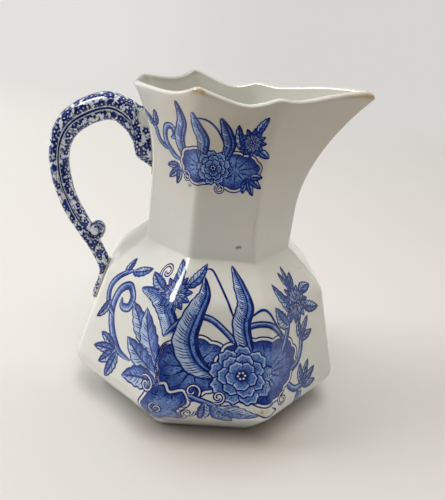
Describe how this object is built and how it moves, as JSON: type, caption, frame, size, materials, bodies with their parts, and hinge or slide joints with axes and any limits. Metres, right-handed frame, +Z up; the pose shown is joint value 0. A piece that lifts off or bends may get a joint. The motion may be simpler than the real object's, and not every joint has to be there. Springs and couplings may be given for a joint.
{
  "type": "porcelain cream jug",
  "caption": "Octagonal glazed cream jug with flat-sided belly with sloping shoulder, tall flared neck, wavy rim, pouring spout and looped handle with thumb scroll and tail.",
  "frame": {"origin": "middle of the foot, on the table", "axes": "+Z up, +X towards the spout, -X towards the handle, -Y is the front side with the spout on the right"},
  "size_m": [0.1489, 0.1262, 0.153],
  "materials": {
    "glazed_body": "clear glaze over off-white clay with underglaze blue print",
    "glazed_base": "clear glaze over off-white clay",
    "printed_handle": "clear glaze over underglaze blue sheet pattern",
    "luting_slip": "thin stained glaze over slip"
  },
  "bodies": {
    "root": {"body_front_half": "glazed_body", "body_back_half": "glazed_body", "base_slab": "glazed_base", "handle": "printed_handle", "handle_upper_slip": "luting_slip", "handle_lower_slip": "luting_slip"}
  },
  "joints": []
}
